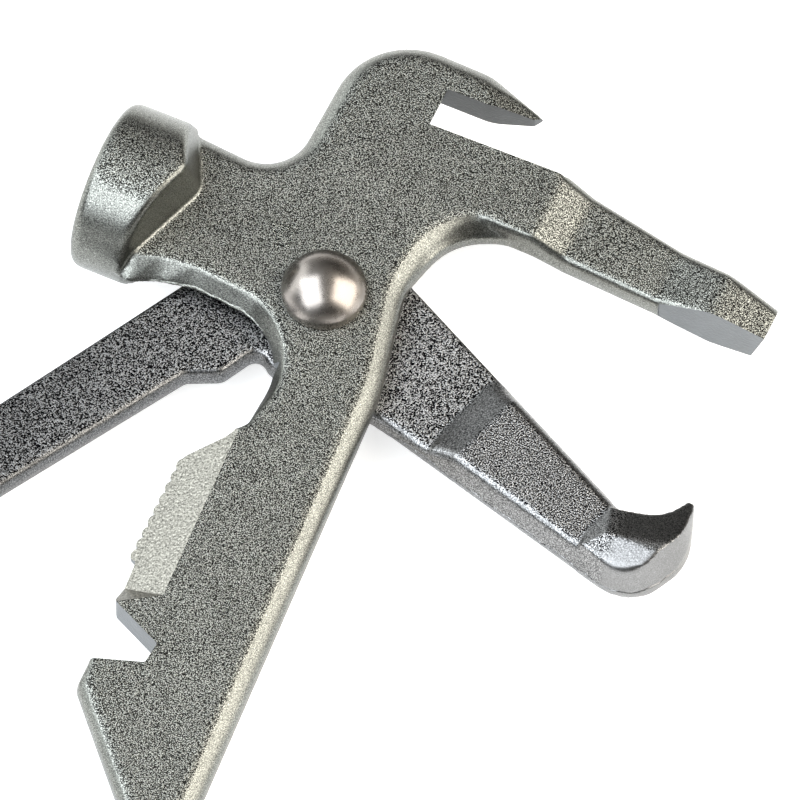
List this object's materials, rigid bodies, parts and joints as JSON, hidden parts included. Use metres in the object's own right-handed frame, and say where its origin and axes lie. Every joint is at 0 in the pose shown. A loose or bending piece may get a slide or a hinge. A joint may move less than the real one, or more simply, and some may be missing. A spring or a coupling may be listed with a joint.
{
  "type": "halligan multi-tool",
  "caption": "Hand-size forged rescue tool: two riveted levers with hammer poll, nail hook, pry beak, claw jaw, serrated blade and wedge notch.",
  "frame": {"origin": "pivot axis, on the flat tail face of the rivet", "axes": "+Z along the pivot towards the domed head, +X from the hammer towards the jaws, -Y towards the handles"},
  "size_m": [0.1146, 0.1334, 0.0242],
  "materials": {
    "front_steel": "forged, shot-blasted, zinc plated",
    "rear_steel": "forged, shot-blasted, zinc plated",
    "rivet_steel": "satin polished"
  },
  "bodies": {
    "front": {"front_lever": "front_steel", "pivot_rivet": "rivet_steel"},
    "rear": {"rear_lever": "rear_steel"}
  },
  "joints": [
    {"name": "jaw_pivot", "type": "hinge", "parent": "front", "child": "rear", "pos_m": [0, 0, 0.0036], "axis": [0, 0, 1], "range_deg": [-12, 26]}
  ]
}
